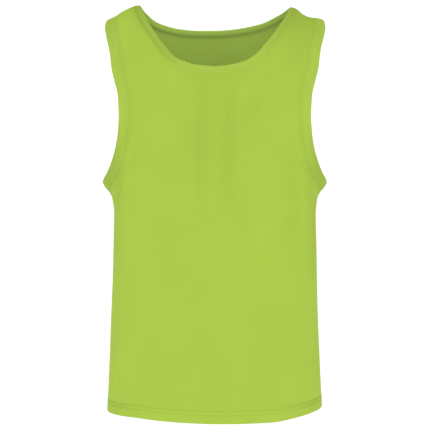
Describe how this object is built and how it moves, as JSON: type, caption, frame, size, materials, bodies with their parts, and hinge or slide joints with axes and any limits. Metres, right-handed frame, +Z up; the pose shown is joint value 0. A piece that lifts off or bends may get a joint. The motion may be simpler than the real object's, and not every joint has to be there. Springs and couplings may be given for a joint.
{
  "type": "mesh training bib",
  "caption": "Sleeveless sports bib of fine mesh cloth, hollow as worn, with a scooped neck, bound neck and armholes, and a turned-up hem.",
  "frame": {"origin": "on the centre line at the height where the straps rest on the wearer's shoulders, midway between front and back at the shoulder seams", "axes": "+Z up, the front faces -Y, +X towards the wearer's left"},
  "size_m": [0.376, 0.2354, 0.6869],
  "materials": {
    "mesh_cloth": "matt lime polyester mesh with fine upright ribs",
    "band_cloth": "matt lime polyester binding, folded double"
  },
  "bodies": {
    "root": {"front_panel": "mesh_cloth", "back_panel": "mesh_cloth", "neck_band": "band_cloth", "right_armhole_band": "band_cloth", "left_armhole_band": "band_cloth"}
  },
  "joints": []
}
